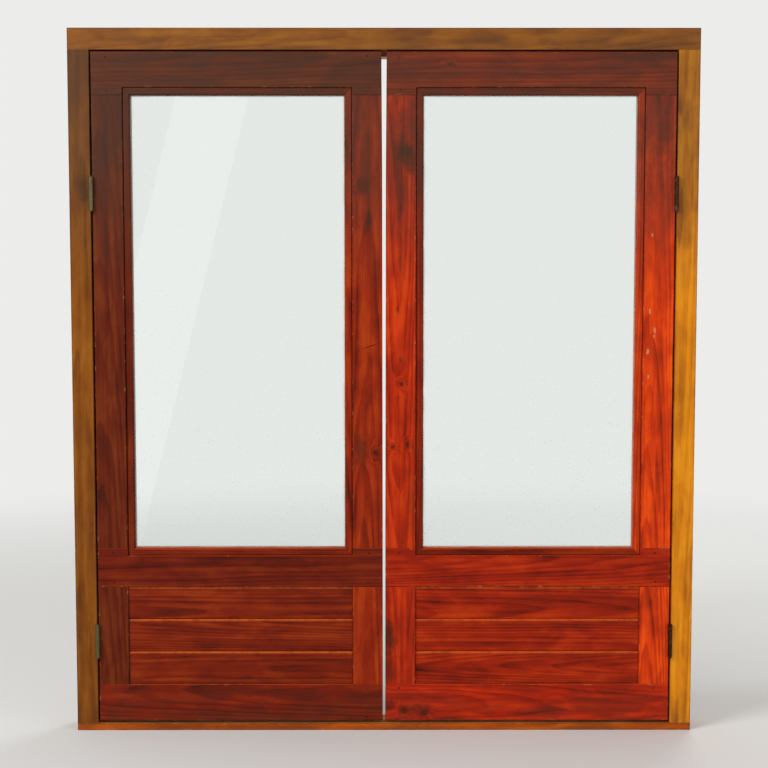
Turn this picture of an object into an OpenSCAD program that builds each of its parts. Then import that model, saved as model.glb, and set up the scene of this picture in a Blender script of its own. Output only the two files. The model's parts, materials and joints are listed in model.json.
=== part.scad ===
// Pair of glazed timber doors in their frame. X runs to the right as seen from the room, Y runs
// out of the room and Z up. The origin is the middle of the sill's underside.

/* [Leaves] */
// Width of one leaf
leaf_w = 870; // [700:5:1000]
// Height of a leaf
leaf_h = 2032; // [1900:1:2300]
// Thickness of a leaf
leaf_t = 42; // [38:1:50]
// Thickness of the room-side half of a leaf, where the rails lap over the stiles
lap_t = 21; // [18:1:24]
// Width of a stile on the room side
stile_w = 92; // [80:1:130]
// Height of the top rail on the room side
top_rail_h = 105; // [80:1:140]
// Height of the lock rail on the room side
lock_rail_h = 97; // [80:1:160]
// Height of the bottom rail on the room side
bottom_rail_h = 114; // [90:1:180]
// Height of the lock rail's lower edge above the leaf's foot
lock_rail_z = 417; // [360:1:600]
// Width of the lip that the glass and the boards lie against
lip_w = 23; // [14:1:26]
// Width of the small chamfer along the edges of the wood
arris = 1.5; // [0.6:0.1:2.5]

/* [Glass and beads] */
// Thickness of the glass
glass_t = 4; // [3:0.5:6]
// Room left round the edge of the glass
glass_play = 2; // [1:0.5:4]
// How far the beads lie back from the face of the stiles
bead_recess = 4; // [1:0.5:6]
// Width of the chamfer along the bead's edge beside the glass
bead_chamfer = 4; // [1:0.5:6]
// Width of the chamfer along the bead's edge beside the stile
bead_quirk = 3; // [1:0.5:5]

/* [Boards] */
// Number of boards below the lock rail
board_count = 3; // [2:1:5]
// Thickness of a board
board_t = 16; // [12:1:17]
// Depth of the V along the boards' joints
board_vee = 3.5; // [2:0.5:5]
// Thickness of a board's tongue
tongue_t = 5; // [4:0.5:6]
// Height of a board's tongue
tongue_h = 7; // [5:0.5:10]
// Room left round a tongue in its groove
tongue_play = 0.5; // [0.3:0.1:1]

/* [Frame] */
// Width of the frame's face on the room side
face_w = 64; // [50:1:90]
// Depth of the frame through the wall
frame_d = 110; // [90:1:160]
// How far the stop stands out behind the leaves
stop_w = 15; // [12:1:20]
// Thickness of the sill
sill_t = 22; // [20:1:40]
// Drop of the sill's sloping top at its outer edge
sill_fall = 6; // [3:0.5:8]
// Width of a jamb's tenons
tenon_w = 40; // [30:1:44]
// Thickness of a jamb's tenons
tenon_t = 36; // [24:1:50]
// Length of the tenon in the head
head_tenon = 40; // [25:1:48]
// Length of the tenon in the sill
sill_tenon = 14; // [8:1:16]

/* [Gaps] */
// Gap between a leaf and its jamb
side_gap = 5; // [5:0.5:8]
// Gap between the two leaves where their edges are straight
meeting_gap = 8; // [8:0.5:14]
// How much wider the gap between the leaves is at their tops, where their edges are planed away
meeting_spread = 8; // [2:0.5:16]
// Height above the leaf's foot where the gap starts to widen
spread_z = 1450; // [1000:10:1700]
// Gap between the leaves and the head
head_gap = 6; // [5:0.5:10]
// Gap between the leaves and the sill
foot_gap = 8; // [6:0.5:15]
// Gap between a leaf and the stop behind it
stop_gap = 5; // [5:0.5:8]

/* [Hinges] */
// Length of a hinge
hinge_l = 100; // [75:5:125]
// Width of a hinge's flap on the wood
flap_w = 30; // [24:1:34]
// Thickness of a flap
flap_t = 3; // [2:0.1:3.4]
// How deep a flap is let into the wood
flap_recess = 1; // [0.5:0.1:1.5]
// Outer radius of a knuckle
knuckle_r = 6.5; // [5.5:0.1:7]
// Number of knuckles on a hinge
knuckle_count = 5; // [3:2:7]
// Gap between neighbouring knuckles
knuckle_gap = 0.4; // [0.2:0.1:1]
// Gap between a flap and the other flap's knuckles
knuckle_clear = 0.5; // [0.3:0.1:1]
// Room left round a flap in its recess
flap_play = 0.2; // [0.1:0.1:0.5]
// Radius of a hinge pin
pin_r = 3; // [2.5:0.1:3.5]
// Room left round the pin in the knuckles
pin_play = 0.08; // [0.04:0.01:0.1]
// Radius of a pin's head
pin_head_r = 5; // [4:0.1:5.4]
// Height of a pin's head
pin_head_h = 3; // [2:0.5:5]
// How far the pin stands out in front of the leaf's face
pin_out = 7; // [6.8:0.1:9]
// Height of the lower hinge's middle above the leaf's foot
lower_hinge_z = 250; // [180:5:350]
// Distance of the upper hinge's middle below the leaf's top
upper_hinge_drop = 420; // [180:5:600]

/* [Hidden] */
$fn = 48;

leaf_wood = "#8c3414";
frame_wood = "#b8782c";
pane_colour = "#c8d8d8";
hinge_metal = "#77715e";

// Overlap of cutting shapes past the faces that they cut
cut = 1;

room_y = -frame_d / 2;
opening_w = 2 * leaf_w + meeting_gap + 2 * side_gap;
frame_w = opening_w + 2 * face_w;
leaf_foot_z = sill_t + foot_gap;
opening_top_z = leaf_foot_z + leaf_h + head_gap;
jamb_h = opening_top_z - sill_t;
rebate_d = leaf_t + stop_gap;

back_t = leaf_t - lap_t;
pane_left = stile_w;
pane_right = leaf_w - stile_w;
pane_foot = lock_rail_z + lock_rail_h;
pane_top = leaf_h - top_rail_h;
glass_y = lap_t - glass_t;
bead_t = glass_y - bead_recess;

panel_foot = bottom_rail_h;
panel_top = lock_rail_z;
board_h = (panel_top - panel_foot) / board_count;
board_y = lap_t - board_t;
tongue_y = board_y + board_vee + (board_t - board_vee - tongue_t) / 2;

knuckle_l = hinge_l / knuckle_count;

// How far a leaf's meeting edge leans back for each unit of height above spread_z
spread_slope = meeting_spread / 2 / (leaf_h - spread_z);

// A rectangle whose corners, counted from the lower left and against the clock, are cut off by the
// lengths in corners
module cut_rectangle(w, h, corners) {
    c = corners;
    polygon(concat(
        c[0] > 0 ? [[0, c[0]], [c[0], 0]] : [[0, 0]],
        c[1] > 0 ? [[w - c[1], 0], [w, c[1]]] : [[w, 0]],
        c[2] > 0 ? [[w, h - c[2]], [w - c[2], h]] : [[w, h]],
        c[3] > 0 ? [[c[3], h], [0, h - c[3]]] : [[0, h]]
    ));
}

// Extrudes a section drawn in Y and Z along X for the length l
module along_x(l)
    multmatrix([[0, 0, 1, 0], [1, 0, 0, 0], [0, 1, 0, 0], [0, 0, 0, 1]]) linear_extrude(l) children();

// A bar along X from x0 to x1, with the section [y, z] of size w by h
module bar_x(x0, x1, y0, z0, w, h, corners = [0, 0, 0, 0])
    translate([x0, y0, z0]) along_x(x1 - x0) cut_rectangle(w, h, corners);

// Puts a leaf drawn from its hinge edge, room face and foot into the left or the right half
module in_half(side)
    mirror([side == "right" ? 1 : 0, 0, 0])
        translate([side_gap - opening_w / 2, room_y, leaf_foot_z]) children();

// Puts a hinge drawn round its pin beside the left or the right jamb
module at_hinge(side, z)
    mirror([side == "right" ? 1 : 0, 0, 0])
        translate([side_gap / 2 - opening_w / 2, room_y - pin_out, leaf_foot_z + z]) children();

function hinge_z(level) = level == "upper" ? leaf_h - upper_hinge_drop : lower_hinge_z;

// The space that a flap takes up in the wood, drawn round the pin
module flap_recess_cut(x0)
    translate([x0, 0, -hinge_l / 2 - flap_play])
        cube([flap_recess + cut, pin_out + flap_w + flap_play, hinge_l + 2 * flap_play]);

// The frame's members
module jamb(side) color(frame_wood)
    difference() {
        mirror([side == "right" ? 1 : 0, 0, 0])
            translate([-frame_w / 2, room_y, sill_t]) {
                linear_extrude(jamb_h)
                    polygon([
                        [0, 0], [face_w - arris, 0], [face_w, arris], [face_w, rebate_d],
                        [face_w + stop_w - arris, rebate_d], [face_w + stop_w, rebate_d + arris],
                        [face_w + stop_w, frame_d - arris], [face_w + stop_w - arris, frame_d], [0, frame_d]
                    ]);
                translate([(face_w - tenon_w) / 2, (frame_d - tenon_t) / 2, -sill_tenon])
                    cube([tenon_w, tenon_t, sill_tenon + jamb_h + head_tenon]);
            }
        for (level = ["upper", "lower"])
            at_hinge(side, hinge_z(level)) flap_recess_cut(-side_gap / 2 - flap_recess);
    }

// The mortise for a jamb's tenon, drawn from the tenon's end
module mortise(side, z, l)
    mirror([side == "right" ? 1 : 0, 0, 0])
        translate([(face_w - tenon_w - frame_w) / 2, -tenon_t / 2, z]) cube([tenon_w, tenon_t, l]);

module head() color(frame_wood)
    difference() {
        union() {
            bar_x(-frame_w / 2, frame_w / 2, room_y, opening_top_z, frame_d, face_w);
            bar_x(stop_w - opening_w / 2, opening_w / 2 - stop_w, room_y + rebate_d,
                opening_top_z - stop_w, frame_d - rebate_d, stop_w, [arris, arris, 0, 0]);
        }
        for (side = ["left", "right"])
            mortise(side, opening_top_z - cut, head_tenon + cut);
    }

module sill() color(frame_wood)
    difference() {
        bar_x(-frame_w / 2, frame_w / 2, room_y, 0, frame_d, sill_t);
        translate([stop_w - opening_w / 2, room_y + rebate_d, sill_t])
            along_x(opening_w - 2 * stop_w)
                polygon([[0, 0], [frame_d - rebate_d, -sill_fall], [frame_d - rebate_d + cut, -sill_fall],
                    [frame_d - rebate_d + cut, cut], [0, cut]]);
        for (side = ["left", "right"])
            mortise(side, sill_t - sill_tenon, sill_tenon + cut);
    }

// The recesses for both hinges in a leaf's edge
module leaf_recesses(side)
    for (level = ["upper", "lower"])
        at_hinge(side, hinge_z(level)) flap_recess_cut(side_gap / 2 - cut);

// Each rail's lower edge and height on the room side, from the lowest up
RAILS = [[0, bottom_rail_h], [lock_rail_z, lock_rail_h], [pane_top, top_rail_h]];

// Lower and upper end of a rail's lap over the stiles, which takes in the lip on the glass's side
function lap_foot(index) = RAILS[index][0] - (index == 2 ? lip_w : 0);
function lap_top(index) = RAILS[index][0] + RAILS[index][1] + (index == 1 ? lip_w : 0);

// A stile drawn from its outer edge: a rebated section with a lap cut for each rail
module stile()
    difference() {
        linear_extrude(leaf_h)
            polygon([
                [0, arris], [arris, 0], [stile_w - arris, 0], [stile_w, arris],
                [stile_w, lap_t], [stile_w + lip_w, lap_t],
                [stile_w + lip_w, leaf_t - arris], [stile_w + lip_w - arris, leaf_t],
                [arris, leaf_t], [0, leaf_t - arris]
            ]);
        for (index = [0:2]) {
            foot = lap_foot(index) - (index == 0 ? cut : 0);
            top = lap_top(index) + (index == 2 ? cut : 0);
            translate([-cut, -cut, foot]) cube([stile_w + lip_w + 2 * cut, lap_t + cut, top - foot]);
        }
    }

module hinge_stile(side) color(leaf_wood)
    difference() {
        in_half(side) stile();
        leaf_recesses(side);
    }

// What is planed off a leaf's meeting edge near its top
module planed_off()
    translate([0, leaf_t + cut, 0]) rotate([90, 0, 0])
        linear_extrude(leaf_t + 2 * cut)
            polygon([
                [leaf_w, spread_z], [leaf_w + cut, spread_z], [leaf_w + cut, leaf_h + cut],
                [leaf_w - spread_slope * (leaf_h + cut - spread_z), leaf_h + cut]
            ]);

module meeting_stile(side) color(leaf_wood)
    in_half(side) difference() {
        translate([leaf_w, 0, 0]) mirror([1, 0, 0]) stile();
        planed_off();
    }

// A rail, the index counted from the lowest: a section with a lip above and below where glass or
// boards lie, and its outer half cut away over the stiles
module rail(side, index) color(leaf_wood) {
    z0 = RAILS[index][0];
    z1 = z0 + RAILS[index][1];
    below = index > 0 ? z0 - lip_w : z0;
    above = index < 2 ? z1 + lip_w : z1;
    difference() {
        in_half(side) difference() {
            union() {
                along_x(leaf_w)
                    polygon([
                        [arris, z0], [lap_t, z0], [lap_t, below],
                        [leaf_t - arris, below], [leaf_t, below + arris],
                        [leaf_t, above - arris], [leaf_t - arris, above],
                        [lap_t, above], [lap_t, z1], [arris, z1],
                        [0, z1 - arris], [0, z0 + arris]
                    ]);
                if (index > 0)
                    for (x = [0, leaf_w - stile_w])
                        translate([x, 0, 0]) along_x(stile_w)
                            polygon([
                                [arris, lap_foot(index)], [lap_t, lap_foot(index)],
                                [lap_t, lap_top(index)], [arris, lap_top(index)],
                                [0, lap_top(index) - arris], [0, lap_foot(index) + arris]
                            ]);
            }
            for (x = [-cut, leaf_w - stile_w - lip_w])
                translate([x, lap_t, below - cut])
                    cube([stile_w + lip_w + cut, back_t + cut, above - below + 2 * cut]);
            if (index == 2) planed_off();
        }
        leaf_recesses(side);
    }
}

// One board of the panel, counted from the lowest: a tongue stands up from all but the top one and
// fits the groove in the board above
module board(side, index) color(leaf_wood) {
    z0 = panel_foot + index * board_h;
    first = index == 0;
    last = index == board_count - 1;
    in_half(side) difference() {
        union() {
            bar_x(pane_left, pane_right, board_y, z0, board_t, board_h,
                [first ? 0 : board_vee, 0, 0, last ? 0 : board_vee]);
            if (!last)
                bar_x(pane_left, pane_right, tongue_y, z0 + board_h - cut, tongue_t, tongue_h + cut);
        }
        if (!first)
            bar_x(pane_left - cut, pane_right + cut, tongue_y - tongue_play, z0 - cut,
                tongue_t + 2 * tongue_play, tongue_h + tongue_play + cut);
    }
}

// The boards between the highest and the lowest one
module middle_boards(side)
    for (index = [1:board_count - 2]) board(side, index);

module pane(side) color(pane_colour, 0.4)
    in_half(side)
        translate([pane_left + glass_play, glass_y, pane_foot + glass_play])
            cube([pane_right - pane_left - 2 * glass_play, glass_t, pane_top - pane_foot - 2 * glass_play]);

// A bead of length l along X, mitred at both ends, with its edge beside the glass on top
module bead(l)
    intersection() {
        bar_x(0, l, bead_recess, 0, bead_t, lip_w, [bead_quirk, 0, 0, bead_chamfer]);
        translate([0, bead_recess + bead_t + cut, 0]) rotate([90, 0, 0])
            linear_extrude(bead_t + 2 * cut) polygon([[0, 0], [l, 0], [l - lip_w, lip_w], [lip_w, lip_w]]);
    }

module bead_bottom(side) color(leaf_wood)
    in_half(side) translate([pane_left, 0, pane_foot]) bead(pane_right - pane_left);

module bead_top(side) color(leaf_wood)
    in_half(side) translate([pane_left, 0, pane_top]) mirror([0, 0, 1]) bead(pane_right - pane_left);

module bead_meeting_side(side) color(leaf_wood)
    in_half(side) translate([pane_right, 0, pane_foot]) rotate([0, -90, 0]) bead(pane_top - pane_foot);

module bead_hinge_side(side) color(leaf_wood)
    in_half(side) translate([pane_left, 0, pane_top]) rotate([0, 90, 0]) bead(pane_top - pane_foot);

// The knuckle with the number i, or the room for it, grown by extra where it meets another knuckle
module knuckle(i, r, extra) {
    foot = i * knuckle_l - hinge_l / 2 - (i > 0 ? extra : 0);
    top = (i + 1) * knuckle_l - hinge_l / 2 + (i < knuckle_count - 1 ? extra : 0);
    translate([0, 0, foot]) cylinder(r = r, h = top - foot);
}

// A hinge's flap drawn round the pin, with the knuckles whose numbers are even or odd
module flap(x0, first) color(hinge_metal)
    difference() {
        union() {
            translate([x0, 0, -hinge_l / 2]) cube([flap_t, pin_out + flap_w, hinge_l]);
            for (i = [first:2:knuckle_count - 1])
                knuckle(i, knuckle_r, -knuckle_gap / 2);
        }
        for (i = [1 - first:2:knuckle_count - 1])
            knuckle(i, knuckle_r + knuckle_clear, knuckle_gap / 2);
        translate([0, 0, -hinge_l / 2 - cut]) cylinder(r = pin_r + pin_play, h = hinge_l + 2 * cut);
    }

module jamb_flap(side, level)
    at_hinge(side, hinge_z(level)) flap(-side_gap / 2 - flap_recess, 0);

module leaf_flap(side, level)
    at_hinge(side, hinge_z(level)) flap(side_gap / 2 + flap_recess - flap_t, 1);

module pin(side, level) color(hinge_metal)
    at_hinge(side, hinge_z(level)) {
        translate([0, 0, -hinge_l / 2 - pin_head_h]) cylinder(r = pin_r, h = hinge_l + 2 * pin_head_h);
        for (z = [-hinge_l / 2 - pin_head_h, hinge_l / 2])
            translate([0, 0, z]) cylinder(r = pin_head_r, h = pin_head_h);
    }

sill();
jamb("left");  // left_jamb
jamb("right");  // right_jamb
head();
hinge_stile("left");  // left_hinge_stile
meeting_stile("left");  // left_meeting_stile
rail("left", 2);  // left_top_rail
rail("left", 1);  // left_lock_rail
rail("left", 0);  // left_bottom_rail
board("left", board_count - 1);  // left_upper_board
middle_boards("left");  // left_middle_board
board("left", 0);  // left_lower_board
pane("left");  // left_glass
bead_top("left");  // left_bead_top
bead_bottom("left");  // left_bead_bottom
bead_hinge_side("left");  // left_bead_hinge_side
bead_meeting_side("left");  // left_bead_meeting_side
hinge_stile("right");  // right_hinge_stile
meeting_stile("right");  // right_meeting_stile
rail("right", 2);  // right_top_rail
rail("right", 1);  // right_lock_rail
rail("right", 0);  // right_bottom_rail
board("right", board_count - 1);  // right_upper_board
middle_boards("right");  // right_middle_board
board("right", 0);  // right_lower_board
pane("right");  // right_glass
bead_top("right");  // right_bead_top
bead_bottom("right");  // right_bead_bottom
bead_hinge_side("right");  // right_bead_hinge_side
bead_meeting_side("right");  // right_bead_meeting_side
leaf_flap("left", "upper");  // left_upper_leaf_flap
leaf_flap("left", "lower");  // left_lower_leaf_flap
leaf_flap("right", "upper");  // right_upper_leaf_flap
leaf_flap("right", "lower");  // right_lower_leaf_flap
jamb_flap("left", "upper");  // left_upper_jamb_flap
jamb_flap("left", "lower");  // left_lower_jamb_flap
jamb_flap("right", "upper");  // right_upper_jamb_flap
jamb_flap("right", "lower");  // right_lower_jamb_flap
pin("left", "upper");  // left_upper_pin
pin("left", "lower");  // left_lower_pin
pin("right", "upper");  // right_upper_pin
pin("right", "lower");  // right_lower_pin
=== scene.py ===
"""A pair of glazed timber doors in their frame: the finish of every piece, the small fixings,
the light and the camera. Lengths are in metres and colours are sRGB bytes unless a name says otherwise."""
import json
import math
import random

import bmesh
import bpy
from mathutils import Matrix, Vector

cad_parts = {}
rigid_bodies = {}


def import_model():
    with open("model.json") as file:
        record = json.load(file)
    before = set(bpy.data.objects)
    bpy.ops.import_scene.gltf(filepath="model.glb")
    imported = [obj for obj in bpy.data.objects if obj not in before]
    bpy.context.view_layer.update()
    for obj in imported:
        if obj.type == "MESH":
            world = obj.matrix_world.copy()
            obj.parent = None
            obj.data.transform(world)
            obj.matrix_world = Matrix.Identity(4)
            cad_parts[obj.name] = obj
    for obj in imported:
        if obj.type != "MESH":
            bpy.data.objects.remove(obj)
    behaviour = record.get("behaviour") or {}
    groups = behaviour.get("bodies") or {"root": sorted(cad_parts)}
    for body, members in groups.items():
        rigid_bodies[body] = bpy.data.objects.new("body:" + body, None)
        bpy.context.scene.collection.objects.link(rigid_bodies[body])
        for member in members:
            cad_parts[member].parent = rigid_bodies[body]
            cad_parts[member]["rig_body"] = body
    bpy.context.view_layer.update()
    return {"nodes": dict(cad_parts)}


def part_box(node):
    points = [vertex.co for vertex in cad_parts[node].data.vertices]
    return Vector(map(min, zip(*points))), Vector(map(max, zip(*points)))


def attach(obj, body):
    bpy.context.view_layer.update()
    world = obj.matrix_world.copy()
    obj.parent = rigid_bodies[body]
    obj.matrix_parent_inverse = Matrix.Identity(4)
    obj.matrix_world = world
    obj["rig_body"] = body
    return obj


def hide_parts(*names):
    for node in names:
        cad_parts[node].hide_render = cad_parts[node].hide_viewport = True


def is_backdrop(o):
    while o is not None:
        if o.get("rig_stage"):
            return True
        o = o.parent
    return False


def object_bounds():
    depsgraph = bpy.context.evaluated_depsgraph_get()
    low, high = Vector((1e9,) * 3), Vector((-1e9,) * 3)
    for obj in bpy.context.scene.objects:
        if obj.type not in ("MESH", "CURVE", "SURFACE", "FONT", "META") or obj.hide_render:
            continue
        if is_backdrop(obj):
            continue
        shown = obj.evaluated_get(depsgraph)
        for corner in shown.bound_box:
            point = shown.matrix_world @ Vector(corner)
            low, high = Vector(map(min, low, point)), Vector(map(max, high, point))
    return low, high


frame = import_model()

# The camera stands where the photograph was taken from, and the doors fill this share of its picture
CAMERA_PLACE = Vector((-0.011, -4.702, 1.444))
FRAME_FILL = 0.93
SENSOR_MM = 36.0

# The pieces, with the axis of the grain where it differs from piece to piece
SIDES = {"left": -1, "right": 1}
FRAME_MEMBERS = {"sill": "X", "head": "X", "left_jamb": "Z", "right_jamb": "Z"}
STILES = ("hinge_stile", "meeting_stile")
RAILS = ("top_rail", "lock_rail", "bottom_rail")
BOARDS = ("upper_board", "middle_board", "lower_board")
BEADS = {"bead_top": "X", "bead_bottom": "X", "bead_hinge_side": "Z", "bead_meeting_side": "Z"}
HINGES = ("upper", "lower")

# Joinery, as the solids have it. The outer half of a stile or rail is wider than its room-side half by
# the lip that glass and boards lie against, and the laps are as thick as the room-side half
LIP = 0.023
LAP_DEPTH = 0.021
# The leaves' meeting edges lean back above this height, by this much a metre
LEAN_START = 1.480
LEAN = 0.00687
# Width of the glass's rim that the beads hide, and how far their faces lie behind the members' faces
PANE_HIDDEN = 0.021
BEAD_RECESS = 0.004
# From the middle of a hinge to a flap's bare face
FLAP_CLEAR = 0.0005
room_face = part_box("left_meeting_stile")[0].y
meeting_half_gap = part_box("right_meeting_stile")[0].x

# Eased edges
WOOD_EASE = 0.0006
METAL_EASE = 0.0004
EASE_SEGMENTS = 2
SHARP_ANGLE = math.radians(25)
FLAT_ANGLE = math.radians(0.5)
SAME_POINT = 1e-6

# Round fixings are (radius, height) pairs from foot to crown, and height 0 is the surface they sit in
NAIL_HEAD = [(0.0022, -0.0015), (0.0026, 0.0), (0.0026, 0.0002), (0.0021, 0.0006), (0.0010, 0.0008)]
NAIL_SEGMENTS = 16
NAIL_INSET = 0.014
NAIL_SCATTER_ALONG = 0.005
NAIL_SCATTER_UP = 0.003
BEAD_PIN_HEAD = [(0.0010, -0.001), (0.0012, 0.0), (0.0012, 0.00015), (0.0008, 0.0003)]
BEAD_PIN_SEGMENTS = 10
BEAD_PIN_INSET = 0.0095
BEAD_PIN_SPACING = 0.17
BEAD_PIN_SCATTER = 0.012
# A screw head is two halves with a slot between them, in a grimy countersink that shows in the slot
SCREW_LAYERS = [(0.0040, -0.0002), (0.0040, 0.0002), (0.0036, 0.00038)]
SCREW_SLOT = 0.0011
SCREW_ARC_STEPS = 12
SCREW_BED = [(0.0046, -0.0005), (0.0046, 0.00005)]
SCREW_BED_SEGMENTS = 20
# Heights of a flap's screws from the middle of the hinge, and distances from the flap's far end
SCREW_PLACES = ((-0.036, 0.010), (0.0, 0.020), (0.036, 0.010))

# Colours
LEAF_TONES = {"dark": (66, 12, 2), "middle": (150, 36, 4), "light": (196, 70, 12)}
FRAME_TONES = {"dark": (120, 62, 12), "middle": (184, 106, 18), "light": (212, 142, 40)}
KNOT_COLOUR = (46, 18, 6)
BARE_WOOD_COLOUR = (196, 140, 92)
CREST_HIGHLIGHT_COLOUR = (206, 96, 34)
GRIME_COLOUR = (34, 22, 14)
STAIN_AND_SHADE_COLOUR = (48, 28, 12)
# The colour of the painted shade towards the top
TOP_SHADE_COLOUR = (66, 50, 38)
SPLASH_COLOUR = (70, 48, 30)
# The left hinges' paler metal is partly a painted highlight
HINGE_COLOURS = {"left": (106, 98, 66), "right": (58, 36, 22)}
SCREW_BRIGHTNESS = 1.2
RUST_COLOUR = (92, 48, 20)
NAIL_COLOUR = (54, 26, 14)
GLASS_COLOUR = (246, 251, 249)
DUST_AND_HIGHLIGHT_COLOUR = (206, 200, 188)
FLOOR_COLOUR = (222, 221, 218)
BACKDROP_COLOUR = (236, 236, 234)

# Fineness of the wood's figure along, across and through the grain, in cycles a metre
SLOW_DRIFT = (1.1, 7, 7)
QUICK_DRIFT = (9, 70, 70)
STREAKS = (1.4, 52, 52)
FIBRES = (14, 800, 800)
BLOTCHES = (5, 15, 15)
WAVES = (14, 30, 30)

# How far the drifts and the knots push the growth rings about, and the ring's width from piece to piece
SLOW_SHIFT = 0.024
QUICK_SHIFT = 0.0022
KNOT_SHIFT = 0.013
RING_WIDTH = (0.0050, 0.0072)
# The stretches of a ring in which its late wood builds up and ends, and its strength from ring to ring
LATE_RISE = (0.30, 0.90)
LATE_FALL = (0.92, 1.0)
LATE_STRENGTH = (0.45, 1.0)
# Where the pith lies from the middle of a piece and beyond its face, how far the grain runs off, and the
# shift that sets a piece's noises apart from the next piece's
PITH_ACROSS = (-0.05, 0.05)
PITH_BEYOND = (0.02, 0.07)
TILT_ACROSS = (-0.012, 0.012)
TILT_THROUGH = (-0.03, 0.03)
SEED_SHIFT = (0, 90)

# The ends between which nearly all of a noise lies
NOISE_ENDS = (0.3, 0.7)

# The shade of clear wood, what darkens it (between which ends, and by how much) and each tone's shade
CLEAR_SHADE = 0.82
DARKENING = (("Streak", NOISE_ENDS, 0.23), ("Late wood", None, 0.24), ("Blotch", (0.32, 0.68), 0.22),
             ("Wave", NOISE_ENDS, 0.10), ("Fibre", NOISE_ENDS, 0.12))
TONE_SHADES = {"dark": 0.0, "middle": 0.45, "light": 0.9}

# A knot is longer along the grain, and the rings swell round it by a bell curve
KNOT_STRETCH = 1.25
KNOT_BELL = 0.16
# Chips are longer up the grain than across
CHIP_ALONG = 3.2
CHIP_ACROSS = 1.3
# Fineness of the marks' outlines, in cycles a metre, and how far they stray from an oval
MARK_FINENESS = 50.0
CHIP_FINENESS = 240.0
RAGGEDNESS = (0.6, 1.4)
# Fades are full up to the first figure and gone from the second, and the third is their strength. A mark's
# are by the distance from its middle, in shares of its size; each stain has a strength of its own
KNOT_HALO = (0.9, 2.6, 0.38)
KNOT_CORE = (0.45, 1.3, 0.68)
STAIN_EDGE = (0.3, 1.3)
DARK_LINE_EDGE = (0.7, 1.1, 0.85)
CHIP_EDGE = (0.85, 1.05, 0.8)

# Worn edges: fineness of the scuffs, where in their noise they spread and where they show, their reach
# from the edge and how much bare wood they show
SCUFF_FINENESS = 55.0
SCUFF_SPREADS = (0.52, 0.78)
SCUFF_SHOWS = (0.54, 0.64)
SCUFF_REACH = 0.006
SCUFF_STRENGTH = 0.34
BEAD_WEAR = 0.3
BOARD_WEAR = 0.4
# Faces that look up, by the upward part of their normal, are paler, as dust and as painted light from
# above, and hold little grime
LEDGE_SLOPE = (0.3, 0.6)
LEDGE_PALENESS = 0.45
LEDGE_CLEANNESS = 0.85
# Grime in the seams, by the distance from an edge, which scuffs rub thinner
SEAM_GRIME = (0.0004, 0.0030, 0.72)
SEAM_RUBBED = (0.40, 0.62, 1.0, 0.35)
# A pale band below a board's top edge, partly wear and partly a painted highlight, by the depth below it,
# and more so where it is scuffed
CREST_BAND = (0.002, 0.009, 0.75)
CREST_SCUFFED = (0.35, 0.6, 0.4, 1.0)
# Painted shade darkens the wood towards the top, from the first height to the second, more on the room side
TOP_SHADE_HEIGHTS = (1.25, 1.85)
TOP_SHADE_STRENGTH_INSIDE = 0.60
TOP_SHADE_STRENGTH_OUTSIDE = 0.15
TOP_SHADE_UNEVENNESS = (0.8, 1.15)
# Splashes at the foot, by the height
SPLASH_BAND = (0.03, 0.20, 0.35)
SPLASH_BLOTCHES = (0.3, 0.6)

# The varnish: its roughness, what wear and ledges add to it, and its thin gloss
VARNISH_ROUGHNESS = (0.34, 0.50)
WORN_ROUGHNESS = 0.25
LEDGE_ROUGHNESS = 0.4
VARNISH_GLOSS = {"Coat Weight": 0.03, "Coat Roughness": 0.2, "IOR": 1.48, "Specular IOR Level": 0.10}
# The relief of the grain under it, and what each part of the figure and wear put into it
GRAIN_RELIEF = {"strength": 0.55, "distance": 0.0005}
LATE_RISES = 0.35
FIBRE_RISES = 0.35
WAVE_RISES = 1.2
WORN_SINKS = 0.8

# Fineness of the rust's patches, the metal's grain and its pits, in cycles a metre
RUST_PATCHES = 45.0
METAL_GRAIN = 420.0
METAL_PITS = 1100.0
METAL_RELIEF = {"strength": 0.4, "distance": 0.0003}
# Where rust blooms in its patches' noise, and how far rustiness brings that down
RUST_BLOOM = (0.62, 0.74)
RUST_SPREAD = 0.2
# Roughness of the grain about the metal's own, what rust adds, and how metallic clean and rusty spots are
GRAIN_ROUGHNESS = (-0.06, 0.10)
RUST_ROUGHNESS = 0.3
METALLIC = (0.9, 0.15)
# The darker side of the clean metal's grain and of the rust's pits
GRAIN_ENDS = (0.25, 0.75)
GRAIN_SHADE = 0.80
PIT_SHADE = 0.6

# Dust on the glass: a film near the rim, and a line along the beads that is partly dust and partly a
# painted highlight, both ragged, by the distance from the rim, and bands that wiping left
DUST_FILM = (0.0, 0.04, 0.20)
DUST_FILM_RAGGED = (0.35, 0.65)
DUST_AND_HIGHLIGHT_LINE = (PANE_HIDDEN, PANE_HIDDEN + 0.006, 0.4)
DUST_AND_HIGHLIGHT_LINE_RAGGED = (0.3, 0.6, 0.3, 1.0)
DUST_FINENESS = 14.0
WIPED_FINENESS = (34, 6, 12)
WIPED_BANDS = (0.60, 0.74, 0.0, 0.012)
# Specks of dust, one to a cell but for a share of bare cells, and weaker towards the top
SPECK_FINENESS = 90.0
SPECK_EDGE = (0.10, 0.22, 0.5)
BARE_CELLS = 0.80
SPECK_HEIGHTS = (0.9, 1.6, 1.0, 0.25)
# The noises on the glass are turned out of line with it, so that no row of them shows
ASKEW = (0.5, 0.7, 0.9)

# The floor, which fades into the surroundings between two distances, and the light all round
FLOOR_RADIUS = 9.0
FLOOR_SEGMENTS = 96
FLOOR_FADE = (1.2, 5.5)
WORLD_LIGHT = 0.5
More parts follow.
